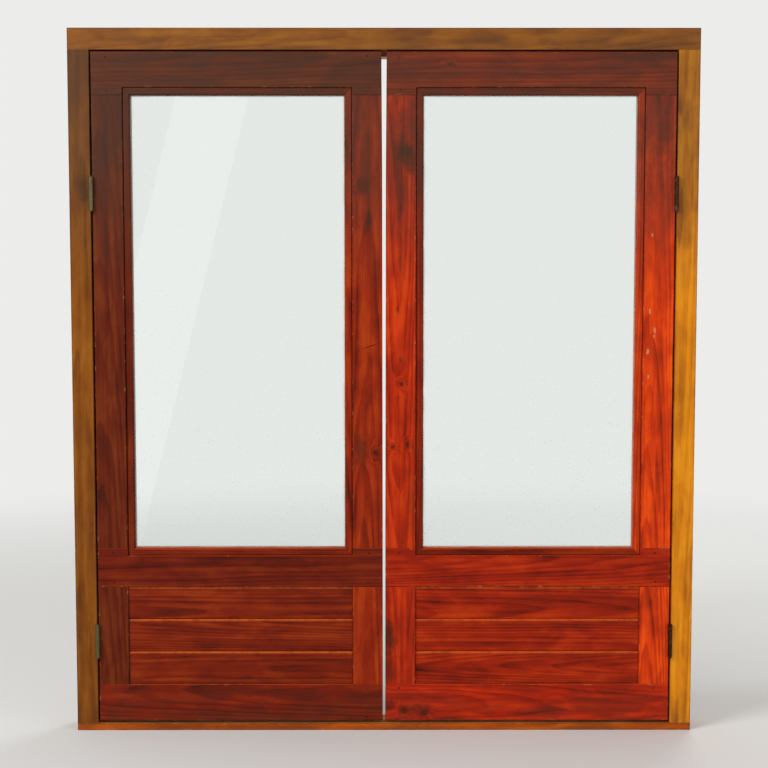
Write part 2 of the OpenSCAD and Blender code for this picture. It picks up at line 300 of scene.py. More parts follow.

# What sets single pieces apart. A tint multiplies the wood's colour, and is partly the wood's own tone and
# partly
# painted light: the tints darken most of the left leaf, the left jamb and the top rails as painted shade,
# and brighten the right jamb and most of the right leaf, the right hinge stile most of all, as painted
# sunlight.
# Marks are x and z on the face with, for a knot or chip, its size, and for a stain, a patch of painted
# shade or a dark line, its reach along and across the grain; then comes the stain's or patch's strength or
# the line's turn
MARKS = {
    # The left jamb's stain is a darker patch beside the upper hinge
    "left_jamb": {"tint": (0.48, 0.46, 0.66), "stains_and_shade": [(-0.899, 1.655, 0.050, 0.016, 0.6)]},
    "right_jamb": {"tint": (1.45, 1.55, 0.80)},
    "sill": {"tint": (0.95, 0.54, 0.50)},
    "head": {"tint": (0.95, 0.93, 0.90)},
    "right_meeting_stile": {
        "tint": (1.38, 1.15, 0.8),
        "knots": [(0.052, 1.069, 0.006), (0.027, 0.879, 0.005), (0.071, 0.885, 0.006)],
        "stains_and_shade": [(0.012, 0.290, 0.062, 0.026, 0.75), (0.016, 0.190, 0.060, 0.018, 0.4),
                   (0.058, 1.768, 0.036, 0.028, 0.7), (0.080, 1.742, 0.044, 0.022, 0.7),
                   (0.060, 1.640, 0.060, 0.012, 0.30), (0.041, 1.297, 0.012, 0.005, 0.6),
                   (0.050, 1.145, 0.014, 0.005, 0.5), (0.049, 1.440, 0.034, 0.008, 0.35),
                   (0.082, 0.700, 0.110, 0.012, 0.30)]},
    "left_meeting_stile": {
        "tint": (0.93, 1.0, 0.85),
        "knots": [(-0.026, 0.859, 0.008)],
        "stains_and_shade": [(-0.066, 1.661, 0.036, 0.024, 0.6), (-0.072, 0.868, 0.055, 0.022, 0.55),
                   (-0.060, 0.640, 0.060, 0.006, 0.35), (-0.058, 1.872, 0.016, 0.008, 0.4)],
        # A thin dark slanted line across the stile
        "dark_lines": [(-0.045, 1.183, 0.0014, 0.030, 0.33)]},
    "left_hinge_stile": {"tint": (0.38, 0.66, 1.0)},
    "left_top_rail": {"tint": (0.44, 0.90, 1.8)},
    "right_top_rail": {
        "tint": (0.84, 1.10, 1.8),
        "knots": [(0.196, 2.026, 0.004)],
        "stains_and_shade": [(0.790, 2.040, 0.090, 0.016, 0.45)]},
    "left_lock_rail": {"tint": (0.48, 0.54, 0.6)},
    "right_lock_rail": {"tint": (1.10, 0.80, 0.6)},
    "left_bottom_rail": {"tint": (0.62, 0.58, 0.6)},
    "right_bottom_rail": {
        "tint": (1.40, 0.88, 0.6),
        "knots": [(0.063, 0.058, 0.008), (0.122, 0.053, 0.010)]},
    "right_hinge_stile": {
        "tint": (2.05, 2.15, 0.9),
        # The first stain on the right hinge stile is painted shade, darkening its upper part
        "stains_and_shade": [(0.830, 1.930, 0.260, 0.100, 0.35), (0.838, 1.815, 0.055, 0.024, 0.45),
                   (0.852, 1.960, 0.080, 0.014, 0.3)],
        "chips": [(0.802, 1.290, 0.0024), (0.817, 1.232, 0.0028), (0.815, 1.214, 0.0018),
                  (0.797, 1.168, 0.0030), (0.800, 1.092, 0.0022), (0.806, 1.520, 0.0018)]},
    "left_bead_meeting_side": {"tint": (0.92, 1.0, 0.9)},
    "right_bead_hinge_side": {"tint": (1.60, 1.75, 1.1)},
    "left_bead_top": {"tint": (0.48, 0.76, 1.2)},
    "left_bead_hinge_side": {"tint": (0.44, 0.66, 1.0)},
    "left_bead_bottom": {"tint": (0.55, 0.62, 0.8)},
    "right_bead_top": {"tint": (0.80, 0.98, 1.3)},
}
OTHER_BEADS = {"tint": (0.70, 0.70, 0.8)}
# The board tints are partly painted light: painted shade on the left boards, painted sunlight on the right
# ones
BOARD_TINTS = {"left": (0.66, 0.78, 0.8), "right": (1.10, 0.88, 0.7)}


def linear(colour):
    """An sRGB byte colour as the linear RGBA that shaders take"""
    def channel(c):
        c /= 255
        return c / 12.92 if c <= 0.04045 else ((c + 0.055) / 1.055) ** 2.4
    return (*[channel(c) for c in colour], 1.0)


def scaled_colour(colour, factor):
    return [c * factor for c in colour]


class Tree:
    """Short calls that add nodes to a node tree and return their outputs"""

    def __init__(self, tree):
        self.tree = tree
        tree.nodes.clear()

    def feed(self, node, inputs):
        """Puts values and other nodes' outputs on a node's inputs"""
        for key, value in inputs.items():
            if isinstance(value, bpy.types.NodeSocket):
                self.tree.links.new(value, node.inputs[key])
            elif value is not None:
                node.inputs[key].default_value = value

    def node(self, kind, inputs=None, **settings):
        made = self.tree.nodes.new(kind)
        for key, value in settings.items():
            setattr(made, key, value)
        self.feed(made, inputs or {})
        return made

    def group(self, tree, inputs):
        return self.node("ShaderNodeGroup", inputs, node_tree=tree).outputs

    def math(self, operation, a, b=None, c=None, clamp=False):
        inputs = {0: a, 1: b, 2: c}
        return self.node("ShaderNodeMath", inputs, operation=operation, use_clamp=clamp).outputs[0]

    def vector(self, operation, a, b=None):
        made = self.node("ShaderNodeVectorMath", {0: a, 1: b}, operation=operation)
        return made.outputs["Value" if operation == "LENGTH" else "Vector"]

    def scaled(self, vector, factor):
        inputs = {0: vector, "Scale": factor}
        return self.node("ShaderNodeVectorMath", inputs, operation="SCALE").outputs["Vector"]

    def split(self, vector):
        return self.node("ShaderNodeSeparateXYZ", {0: vector}).outputs

    def joined(self, x, y, z):
        return self.node("ShaderNodeCombineXYZ", {0: x, 1: y, 2: z}).outputs[0]

    def noise(self, vector, detail, roughness=0.5, distortion=0.0):
        """Noise with one cycle to each unit of the vector"""
        return self.node("ShaderNodeTexNoise", {
            "Vector": vector, "Scale": 1.0, "Detail": detail, "Roughness": roughness,
            "Distortion": distortion}).outputs

    def span(self, value, low, high, to_low=0.0, to_high=1.0, smooth=True):
        """Maps low..high to to_low..to_high and holds it there outside"""
        inputs = {0: value, 1: low, 2: high, 3: to_low, 4: to_high}
        kind = "SMOOTHSTEP" if smooth else "LINEAR"
        return self.node("ShaderNodeMapRange", inputs, interpolation_type=kind).outputs[0]

    def fade(self, value, full, gone, strength):
        """The strength where value is up to full, and nothing where it is from gone on"""
        return self.span(value, full, gone, strength, 0.0)

    def mix(self, factor, a, b, blend="MIX"):
        inputs = {0: factor, 6: a, 7: b}
        return self.node("ShaderNodeMix", inputs, data_type="RGBA", blend_type=blend).outputs[2]

    def mix_shaders(self, factor, a, b):
        return self.node("ShaderNodeMixShader", {0: factor, 1: a, 2: b}).outputs[0]

    def ramp(self, value, stops):
        made = self.node("ShaderNodeValToRGB", {0: value})
        elements = made.color_ramp.elements
        elements[0].position, elements[0].color = stops[0]
        elements[1].position, elements[1].color = stops[-1]
        for place, colour in stops[1:-1]:
            elements.new(place).color = colour
        return made.outputs[0]

    def bump(self, height, strength, distance):
        inputs = {"Height": height, "Strength": strength, "Distance": distance}
        return self.node("ShaderNodeBump", inputs).outputs["Normal"]

    def principled(self, inputs):
        return self.node("ShaderNodeBsdfPrincipled", inputs).outputs[0]


def new_group(name, inputs, outputs):
    """An empty node group with a tree of short calls, its input sockets and its output node"""
    group = bpy.data.node_groups.new(name, "ShaderNodeTree")
    for socket, kind in inputs.items():
        group.interface.new_socket(socket, in_out="INPUT", socket_type="NodeSocket" + kind)
    for socket in outputs:
        group.interface.new_socket(socket, in_out="OUTPUT", socket_type="NodeSocketFloat")
    t = Tree(group)
    return group, t, t.node("NodeGroupInput").outputs, t.node("NodeGroupOutput")


def figure_group():
    """The figure of sawn wood. Its point is along the grain, across the face and through the thickness"""
    group, t, given, result = new_group(
        "wood_figure",
        {"Point": "Vector", "Pith": "Vector", "Tilt": "Vector", "Seed": "Vector", "Bulge": "Float",
         "Ring width": "Float"},
        ("Late wood", "Streak", "Fibre", "Blotch", "Wave"))
    point = given["Point"]
    seeded = t.vector("ADD", point, given["Seed"])

    def drift(fineness, reach):
        """Noise about zero, across and through the grain"""
        cloud = t.noise(t.vector("MULTIPLY", seeded, fineness), detail=2)["Color"]
        return t.vector("MULTIPLY", t.vector("SUBTRACT", cloud, (0.5, 0.5, 0.5)), (0, reach, reach))

    def stretched_noise(fineness, **settings):
        return t.noise(t.vector("MULTIPLY", seeded, fineness), **settings)["Fac"]

    slope = t.scaled(given["Tilt"], t.split(point)[0])
    local = t.vector("ADD", t.vector("SUBTRACT", point, given["Pith"]), slope)
    local = t.vector("ADD", local, drift(SLOW_DRIFT, SLOW_SHIFT))
    local = t.vector("ADD", local, drift(QUICK_DRIFT, QUICK_SHIFT))
    radius = t.vector("LENGTH", t.vector("MULTIPLY", local, (0, 1, 1)))
    radius = t.math("MULTIPLY_ADD", given["Bulge"], KNOT_SHIFT, radius)
    ring = t.math("DIVIDE", radius, given["Ring width"])
    phase = t.math("FRACT", ring)
    strength = t.node("ShaderNodeTexWhiteNoise", {"W": t.math("FLOOR", ring)}, noise_dimensions="1D")
    strength = t.span(strength.outputs["Value"], 0, 1, *LATE_STRENGTH, smooth=False)
    late = t.math("MULTIPLY", t.span(phase, *LATE_RISE), t.fade(phase, *LATE_FALL, 1.0))
    t.feed(result, {
        "Late wood": t.math("MULTIPLY", late, strength),
        "Streak": stretched_noise(STREAKS, detail=3, roughness=0.55),
        "Fibre": stretched_noise(FIBRES, detail=2, roughness=0.6),
        "Blotch": stretched_noise(BLOTCHES, detail=4, roughness=0.6, distortion=0.6),
        "Wave": stretched_noise(WAVES, detail=1)})
    return group


def mark_group():
    """How far a point is from a mark on the wood's face: 1 on the mark's edge. The mark is an oval with a
    ragged outline, turned about its middle"""
    group, t, given, result = new_group(
        "mark",
        {"Point": "Vector", "Place": "Vector", "Size": "Vector", "Turn": "Float", "Fineness": "Float"},
        ("Distance",))
    away = t.vector("MULTIPLY", t.vector("SUBTRACT", given["Point"], given["Place"]), (1, 1, 0))
    inputs = {"Vector": away, "Angle": given["Turn"]}
    turned = t.node("ShaderNodeVectorRotate", inputs, rotation_type="Z_AXIS").outputs[0]
    ragged = t.noise(t.scaled(given["Point"], given["Fineness"]), detail=4, roughness=0.6)["Fac"]
    ragged = t.span(ragged, *NOISE_ENDS, *RAGGEDNESS, smooth=False)
    distance = t.vector("LENGTH", t.vector("DIVIDE", turned, given["Size"]))
    t.feed(result, {"Distance": t.math("MULTIPLY", distance, ragged)})
    return group


def edge_group():
    """How far a point on a piece's surface is from the nearest edge of its box, which is one box in front
    of the parting and another behind it"""
    group, t, given, result = new_group(
        "edge_distance",
        {"Point": "Vector", "Parting": "Float", "Front low": "Vector", "Front high": "Vector",
         "Back low": "Vector", "Back high": "Vector"},
        ("Distance",))
    behind = t.math("GREATER_THAN", t.split(given["Point"])[1], given["Parting"])
    low, high = [t.node("ShaderNodeMix", {0: behind, 4: given["Front " + end], 5: given["Back " + end]},
                        data_type="VECTOR").outputs[1] for end in ("low", "high")]
    from_low = t.vector("SUBTRACT", given["Point"], low)
    from_high = t.vector("SUBTRACT", high, given["Point"])
    a, b, c = t.split(t.vector("MINIMUM", from_low, from_high))
    middle = t.math("MAXIMUM", t.math("MINIMUM", a, b), t.math("MINIMUM", t.math("MAXIMUM", a, b), c))
    t.feed(result, {"Distance": middle})
    return group


FIGURE = figure_group()
MARK = mark_group()
EDGE_DISTANCE = edge_group()


def new_material(name):
    made = bpy.data.materials.new(name)
    made.use_nodes = True
    return made, Tree(made.node_tree)


def surface(t, shader):
    t.node("ShaderNodeOutputMaterial", {"Surface": shader})


class Timber:
    """The finish of one piece of stained and varnished pine, laid on in layers. axis is the grain's, and
    front and back are the boxes of the piece's room-side and outer halves"""

    def __init__(self, name, axis, front, back, tones):
        self.upright = axis == "Z"
        self.front = front
        self.back = back
        self.tones = tones
        self.rng = random.Random(name)
        self.material, t = new_material("wood_" + name)
        self.t = t
        self.point = t.node("ShaderNodeTexCoord").outputs["Object"]
        self.x, self.y, self.z = t.split(self.point)
        along, across = (self.z, self.x) if self.upright else (self.x, self.z)
        self.grain_point = t.joined(along, across, self.y)
        self.room_side = t.math("LESS_THAN", self.y, room_face + LAP_DEPTH)

    def cover(self, factor, colour):
        """Lays a colour over the finish, as far as the factor says"""
        self.colour = self.t.mix(factor, self.colour, linear(colour))

    def distance_to(self, x, z, along, across, turn=0.0, fineness=MARK_FINENESS):
        """How far a point is from a mark at x and z on the face: 1 on the mark's edge"""
        place = (z, x, 0) if self.upright else (x, z, 0)
        return self.t.group(MARK, {
            "Point": self.grain_point, "Place": place, "Size": (along, across, 1.0), "Turn": turn,
            "Fineness": fineness})[0]

    def grow(self, tint, knots):
        """The wood itself, in the tones of its figure, which swells round the knots"""
        t, rng = self.t, self.rng
        low, high = self.front
        middle = (low[0] + high[0]) / 2 if self.upright else (low[2] + high[2]) / 2
        pith = (0, middle + rng.uniform(*PITH_ACROSS), high[1] + rng.uniform(*PITH_BEYOND))
        tilt = (0, rng.uniform(*TILT_ACROSS), rng.uniform(*TILT_THROUGH))
        self.seed = [rng.uniform(*SEED_SHIFT) for _ in range(3)]
        cores = [self.distance_to(x, z, size * KNOT_STRETCH, size) for x, z, size in knots]
        bulge = 0.0
        for far in cores:
            bell = t.math("EXPONENT", t.math("MULTIPLY", t.math("MULTIPLY", far, far), -KNOT_BELL))
            bulge = t.math("ADD", bulge, bell)
        self.figure = t.group(FIGURE, {
            "Point": self.grain_point, "Pith": pith, "Tilt": tilt, "Seed": self.seed, "Bulge": bulge,
            "Ring width": rng.uniform(*RING_WIDTH)})

        shade = CLEAR_SHADE
        for part, ends, depth in DARKENING:
            value = t.span(self.figure[part], *ends) if ends else self.figure[part]
            shade = t.math("MULTIPLY_ADD", value, -depth, shade)
        stops = [(place, linear(self.tones[tone])) for tone, place in TONE_SHADES.items()]
        self.colour = t.mix(1.0, t.ramp(shade, stops), (*tint, 1.0), "MULTIPLY")
        for far in cores:
            self.cover(t.fade(far, *KNOT_HALO), self.tones["dark"])
            self.cover(t.fade(far, *KNOT_CORE), KNOT_COLOUR)

    def spoil(self, stains_and_shade, dark_lines):
        """Dark stains, patches of painted shade and thin dark lines on the room side"""
        t = self.t
        for x, z, along, across, strength in stains_and_shade:
            # Stains and patches of painted shade darken the room side
            stain_and_shade_mask = t.fade(self.distance_to(x, z, along, across), *STAIN_EDGE, strength)
            self.cover(t.math("MULTIPLY", stain_and_shade_mask, self.room_side), STAIN_AND_SHADE_COLOUR)
        # Thin dark lines, each at its turn
        for x, z, along, across, turn in dark_lines:
            split = t.fade(self.distance_to(x, z, along, across, turn), *DARK_LINE_EDGE)
            self.cover(t.math("MULTIPLY", split, self.room_side), KNOT_COLOUR)

    def edge_distance(self, straight_side, laps):
        """How far a point is from the piece's nearest edge. A piece with a leaning meeting edge names the x
        of its straight side, and a rail names its laps: the two x between which its face is narrower than
        over the stiles, and the z that both have in common. Both are first squared to the plain box"""
        t, x, z = self.t, self.x, self.z
        low, high = self.front
        square_x, square_z = x, z
        if straight_side is not None:
            width = max(abs(low.x - straight_side), abs(high.x - straight_side))
            above = t.math("MAXIMUM", t.math("SUBTRACT", z, LEAN_START), 0.0)
            lean = t.math("MULTIPLY", above, LEAN / width)
            square_x = t.math("MULTIPLY_ADD", t.math("SUBTRACT", x, straight_side), lean, x)
        if laps is not None:
            inner_low, inner_high, level = laps
            past_low = t.math("LESS_THAN", x, inner_low)
            in_lap = t.math("MAXIMUM", past_low, t.math("GREATER_THAN", x, inner_high))
            narrowing = LIP / (high.z - low.z + LIP)
            shift = t.math("MULTIPLY", t.math("SUBTRACT", z, level), -narrowing)
            square_z = t.math("MULTIPLY_ADD", shift, in_lap, z)
        return t.group(EDGE_DISTANCE, {
            "Point": t.joined(square_x, self.y, square_z), "Parting": room_face + LAP_DEPTH,
            "Front low": low[:], "Front high": high[:],
            "Back low": self.back[0][:], "Back high": self.back[1][:]})[0]

    def wear_edges(self, wear, straight_side, laps):
        """Scuffed edges, grime in the seams, and faces that look up paled by dust and by painted light from
        above
        """
        t = self.t
        edge = self.edge_distance(straight_side, laps)
        scuff_point = t.vector("ADD", t.scaled(self.point, SCUFF_FINENESS), self.seed)
        self.scuff = t.noise(scuff_point, detail=4, roughness=0.6)["Fac"]
        reach = t.span(self.scuff, *SCUFF_SPREADS, 0.0, SCUFF_REACH * wear)
        self.worn = t.math("MULTIPLY", t.math("LESS_THAN", edge, reach), t.span(self.scuff, *SCUFF_SHOWS))
        self.cover(t.math("MULTIPLY", self.worn, SCUFF_STRENGTH), BARE_WOOD_COLOUR)
        normal = t.node("ShaderNodeNewGeometry").outputs["True Normal"]
        self.faces_up = t.span(t.split(normal)[2], *LEDGE_SLOPE)
        seam = t.math("MULTIPLY", t.fade(edge, *SEAM_GRIME), t.span(self.scuff, *SEAM_RUBBED))
        seam = t.math("MULTIPLY", seam, t.math("MULTIPLY_ADD", self.faces_up, -LEDGE_CLEANNESS, 1.0))
        self.cover(seam, GRIME_COLOUR)
        # Painted light from above, with dust, pales the faces that look up
        self.cover(t.math("MULTIPLY", self.faces_up, LEDGE_PALENESS), self.tones["light"])

    def wear_and_highlight_crest(self, crest):
        """A pale band below the top edge, whose z is the crest, partly wear and partly a painted highlight
        """
        t = self.t
        band = t.fade(t.math("SUBTRACT", crest, self.z), *CREST_BAND)
        band = t.math("MULTIPLY", band, t.span(self.scuff, *CREST_SCUFFED))
        # Painted highlight along the board's top edge, with wear
        self.cover(band, CREST_HIGHLIGHT_COLOUR)

    def shade_top_and_splash(self):
        """Painted shade towards the top, and splashes at the foot"""
        t, blotch = self.t, self.figure["Blotch"]
        parting = room_face + LAP_DEPTH
        # Painted shade: the wood darkens towards the top, most on the room side
        top_shade = t.span(self.y, parting, parting + LAP_DEPTH, TOP_SHADE_STRENGTH_INSIDE, TOP_SHADE_STRENGTH_OUTSIDE)
        top_shade = t.math("MULTIPLY", t.span(self.z, *TOP_SHADE_HEIGHTS), top_shade)
        uneven = t.span(blotch, *NOISE_ENDS, *TOP_SHADE_UNEVENNESS, smooth=False)
        self.cover(t.math("MULTIPLY", top_shade, uneven), TOP_SHADE_COLOUR)
        splashed = t.math("MULTIPLY", t.fade(self.z, *SPLASH_BAND), t.span(blotch, *SPLASH_BLOTCHES))
        self.cover(splashed, SPLASH_COLOUR)

    def chip(self, chips):
        """Chips in the varnish of the room side, down to bare wood"""
        t = self.t
        for x, z, size in chips:
            far = self.distance_to(x, z, size * CHIP_ALONG, size * CHIP_ACROSS, fineness=CHIP_FINENESS)
            chipped = t.math("MULTIPLY", t.fade(far, *CHIP_EDGE), self.room_side)
            self.cover(chipped, BARE_WOOD_COLOUR)
            self.worn = t.math("MAXIMUM", self.worn, chipped)

    def varnish(self):
        """Closes the layers under a thin, uneven varnish, and returns the material"""
        t, figure = self.t, self.figure
        rough = t.span(figure["Blotch"], *NOISE_ENDS, *VARNISH_ROUGHNESS)
        rough = t.math("MULTIPLY_ADD", self.worn, WORN_ROUGHNESS, rough)
        rough = t.math("MULTIPLY_ADD", self.faces_up, LEDGE_ROUGHNESS, rough, clamp=True)
        height = t.math("MULTIPLY", figure["Fibre"], FIBRE_RISES)
        height = t.math("MULTIPLY_ADD", figure["Late wood"], LATE_RISES, height)
        height = t.math("MULTIPLY_ADD", figure["Wave"], WAVE_RISES, height)
        height = t.math("MULTIPLY_ADD", self.worn, -WORN_SINKS, height)
        normal = t.bump(height, **GRAIN_RELIEF)
        finish = {"Base Color": self.colour, "Roughness": rough, "Normal": normal, **VARNISH_GLOSS}
        surface(t, t.principled(finish))
        return self.material


def timber(name, axis, front, back, tones, tint, wear=1.0, knots=(), stains_and_shade=(), chips=(), dark_lines=(),
           straight_side=None, laps=None, crest=None):
    """The material of one wooden piece. Knots go right through it, and the other marks are on its room
    side. crest is the z of a top edge below which a pale band shows, partly wear and partly a painted
    highlight"""
    wood = Timber(name, axis, front, back, tones)
    wood.grow(tint, knots)
    wood.spoil(stains_and_shade, dark_lines)
    wood.wear_edges(wear, straight_side, laps)
    if crest is not None:
        wood.wear_and_highlight_crest(crest)
    wood.shade_top_and_splash()
    wood.chip(chips)
    return wood.varnish()


def metal(name, base, rustiness, roughness):
    """Tarnished metal with rust blooming in patches"""
    material, t = new_material(name)
    point = t.node("ShaderNodeTexCoord").outputs["Object"]
    patches = t.noise(t.scaled(point, RUST_PATCHES), detail=5, roughness=0.62)["Fac"]
    bloom = t.span(patches, *[end - RUST_SPREAD * rustiness for end in RUST_BLOOM])
    grain = t.noise(t.scaled(point, METAL_GRAIN), detail=3)["Fac"]
    pits = t.noise(t.scaled(point, METAL_PITS), detail=2)["Fac"]
    dark_base = linear(scaled_colour(base, GRAIN_SHADE))
    dark_rust = linear(scaled_colour(RUST_COLOUR, PIT_SHADE))
    clean = t.mix(t.span(grain, *GRAIN_ENDS), linear(base), dark_base)
    rusty = t.mix(t.span(pits, *NOISE_ENDS), linear(RUST_COLOUR), dark_rust)
    rough = t.span(grain, *NOISE_ENDS, *[roughness + step for step in GRAIN_ROUGHNESS])
    rough = t.math("MULTIPLY_ADD", bloom, RUST_ROUGHNESS, rough, clamp=True)
    surface(t, t.principled({
        "Base Color": t.mix(bloom, clean, rusty), "Roughness": rough,
        "Metallic": t.span(bloom, 0, 1, *METALLIC),
        "Normal": t.bump(t.math("ADD", grain, patches), **METAL_RELIEF)}))
    return material


def dust_and_highlight_on_glass(t, point, low, high):
    """How much dust, and a pale line along the beads that is partly a painted highlight, cover a pane whose
    corners are low and high
    """
    from_low = t.vector("SUBTRACT", point, tuple(low))
    from_high = t.vector("SUBTRACT", tuple(high), point)
    a, _, c = t.split(t.vector("MINIMUM", from_low, from_high))
    rim = t.math("MINIMUM", a, c)
    inputs = {"Vector": point, "Rotation": ASKEW}
    askew = t.node("ShaderNodeVectorRotate", inputs, rotation_type="EULER_XYZ").outputs[0]
    ragged = t.noise(t.scaled(askew, DUST_FINENESS), detail=6, roughness=0.62)["Fac"]
    wiped = t.noise(t.vector("MULTIPLY", askew, WIPED_FINENESS), detail=3, distortion=1.6)["Fac"]
    dust_and_highlight = t.math("MULTIPLY", t.fade(rim, *DUST_FILM), t.span(ragged, *DUST_FILM_RAGGED))
    # The line along the beads: dust, and a painted highlight
    dust_and_highlight = t.math("MULTIPLY_ADD", t.fade(rim, *DUST_AND_HIGHLIGHT_LINE), t.span(ragged, *DUST_AND_HIGHLIGHT_LINE_RAGGED), dust_and_highlight)
    dust_and_highlight = t.math("ADD", dust_and_highlight, t.span(wiped, *WIPED_BANDS))
    cell = t.node("ShaderNodeTexVoronoi", {"Vector": askew, "Scale": SPECK_FINENESS}).outputs
    chosen = t.math("GREATER_THAN", t.split(cell["Color"])[0], BARE_CELLS)
    speck = t.math("MULTIPLY", t.fade(cell["Distance"], *SPECK_EDGE), chosen)
    by_height = t.span(t.split(point)[2], *SPECK_HEIGHTS)
    return t.math("MULTIPLY_ADD", speck, by_height, dust_and_highlight, clamp=True)


def glass(side):
    """Clear float glass with dust on it, and a pale line along the beads that is partly a painted
    highlight.
    Light that makes shadows or falls on dull surfaces goes straight through it"""
    material, t = new_material("glass_" + side)
    point = t.node("ShaderNodeTexCoord").outputs["Object"]
    clear = t.principled({
        "Base Color": linear(GLASS_COLOUR), "Roughness": 0.01, "Transmission Weight": 1.0, "IOR": 1.5})
    dusty_and_lit = t.principled({"Base Color": linear(DUST_AND_HIGHLIGHT_COLOUR), "Roughness": 0.9})
    pane = t.mix_shaders(dust_and_highlight_on_glass(t, point, *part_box(side + "_glass")), clear, dusty_and_lit)
    through = t.node("ShaderNodeBsdfTransparent", {0: linear(GLASS_COLOUR)}).outputs[0]
    path = t.node("ShaderNodeLightPath").outputs
    passing = t.math("MAXIMUM", path["Is Shadow Ray"], path["Is Diffuse Ray"])
    surface(t, t.mix_shaders(passing, pane, through))
    return material


def new_object(name, mesh, material):
    """Turns a bmesh into an object of the scene"""
    data = bpy.data.meshes.new(name)
    mesh.to_mesh(data)
    mesh.free()
    data.materials.append(material)
    made = bpy.data.objects.new(name, data)
    bpy.context.scene.collection.objects.link(made)
    return made


def eased_copy(node, name, ease, material):
    """A copy of a CAD node with its sharp edges rounded a little, riding on the same body in its place"""
    source = frame["nodes"][node]
    mesh = bmesh.new()
    mesh.from_mesh(source.data)
    bmesh.ops.remove_doubles(mesh, verts=mesh.verts, dist=SAME_POINT)
    bmesh.ops.dissolve_limit(mesh, angle_limit=FLAT_ANGLE, verts=mesh.verts, edges=mesh.edges)
    sharp = [e for e in mesh.edges if len(e.link_faces) == 2 and e.calc_face_angle(0) > SHARP_ANGLE]
    rounded = bmesh.ops.bevel(
        mesh, geom=sharp, offset=ease, offset_type="OFFSET", segments=EASE_SEGMENTS, profile=0.5,
        affect="EDGES", clamp_overlap=True)
    strips = set(rounded["faces"])
    for face in mesh.faces:
        face.smooth = face in strips
    piece = new_object(name, mesh, material)
    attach(piece, source["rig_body"])
    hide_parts(node)
    return piece


def wooden(node, axis, tones, slot, front=None, back=None, **marks):
    """Finishes one wooden node as a piece of its own"""
    material = timber(node, axis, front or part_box(node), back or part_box(node), tones, **marks)
    piece = eased_copy(node, node + "_wood", WOOD_EASE, material)


def stile_face(side, part):
    """The box of a stile's room-side half, which is narrower by the lip on the glass's side"""
    low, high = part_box(f"{side}_{part}")
    glass_on_high_side = (part == "hinge_stile") == (side == "left")
    if glass_on_high_side:
        high.x -= LIP
    else:
        low.x += LIP
    return low, high


def finish_stiles(side):
    """The stiles. A meeting stile leans, so it names the side towards the glass, which is straight"""
    for part in STILES:
        low, high = stile_face(side, part)
        node = f"{side}_{part}"
        marks = dict(MARKS[node])
        if part == "meeting_stile":
            marks["straight_side"] = low.x if side == "left" else high.x
        wooden(node, "Z", LEAF_TONES, "leaf_wood", (low, high), **marks)


def finish_rails(side):
    """The rails, whose room-side halves lap over the stiles and whose outer halves end between them"""
    for part in RAILS:
        node = f"{side}_{part}"
        low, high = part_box(node)
        low.z += 0 if part == "bottom_rail" else LIP
        high.z -= 0 if part == "top_rail" else LIP
        back_low, back_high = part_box(node)
        back_low.x = min(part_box(f"{side}_{stile}")[1].x for stile in STILES)
        back_high.x = max(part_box(f"{side}_{stile}")[0].x for stile in STILES)
        marks = dict(MARKS[node])
        if part == "top_rail":
            meeting_side = SIDES[side] * meeting_half_gap
            low.x = min(low.x, meeting_side)
            high.x = max(high.x, meeting_side)
            marks["straight_side"] = low.x if side == "left" else high.x
        if part != "bottom_rail":
            level = high.z if part == "top_rail" else low.z
            marks["laps"] = (back_low.x - LIP, back_high.x + LIP, level)
        wooden(node, "X", LEAF_TONES, "leaf_wood", (low, high), (back_low, back_high), **marks)


def finish_boards(side):
    """The boards from the top down, each with its crest at the foot of the one above"""
    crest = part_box(f"{side}_{BOARDS[0]}")[1].z
    for part in BOARDS:
        node = f"{side}_{part}"
        wooden(node, "X", LEAF_TONES, "leaf_wood", tint=BOARD_TINTS[side], wear=BOARD_WEAR, crest=crest)
        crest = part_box(node)[0].z


def finish_beads(side):
    """The beads round the glass, with tints for those that stand out"""
    for part, axis in BEADS.items():
        node = f"{side}_{part}"
        wooden(node, axis, LEAF_TONES, "leaf_wood", wear=BEAD_WEAR, **MARKS.get(node, OTHER_BEADS))


def finish_glass(side):
    """The pane, which keeps its own mesh"""
    pane = frame["nodes"][side + "_glass"]
    pane.data.materials.clear()
    pane.data.materials.append(glass(side))


def finish_hinges():
    """The flaps and pins, each in the metal of its side"""
    metals = {side: metal("hinge_metal_" + side, HINGE_COLOURS[side], rustiness=0.5, roughness=0.38)
              for side in SIDES}
    for node in frame["nodes"]:
        if node.endswith(("_flap", "_pin")):
            piece = eased_copy(node, node + "_metal", METAL_EASE, metals[node.split("_")[0]])


def facing(direction, place, turn=0.0):
    """A place whose Z points along direction, turned about it"""
    turned = Vector(direction).to_track_quat("Z", "Y").to_matrix().to_4x4()
    return Matrix.Translation(place) @ turned @ Matrix.Rotation(turn, 4, "Z")


def add_sides(mesh, rings, smooth):
    """Joins closed rings of as many points each with a strip of faces"""
    for lower, upper in zip(rings, rings[1:]):
        for i in range(len(lower)):
            j = (i + 1) % len(lower)
            mesh.faces.new((lower[i], lower[j], upper[j], upper[i])).smooth = smooth


def round_head(mesh, place, profile, segments):
    """Adds to mesh a round solid, turned about its own Z from (radius, height) pairs and put in place"""
    angles = [2 * math.pi * i / segments for i in range(segments)]
    rings = []
    for radius, height in profile:
        ring = [Vector((radius * math.cos(a), radius * math.sin(a), height)) for a in angles]
        rings.append([mesh.verts.new(place @ point) for point in ring])
    add_sides(mesh, rings, smooth=True)
    mesh.faces.new(rings[0][::-1])
    mesh.faces.new(rings[-1])


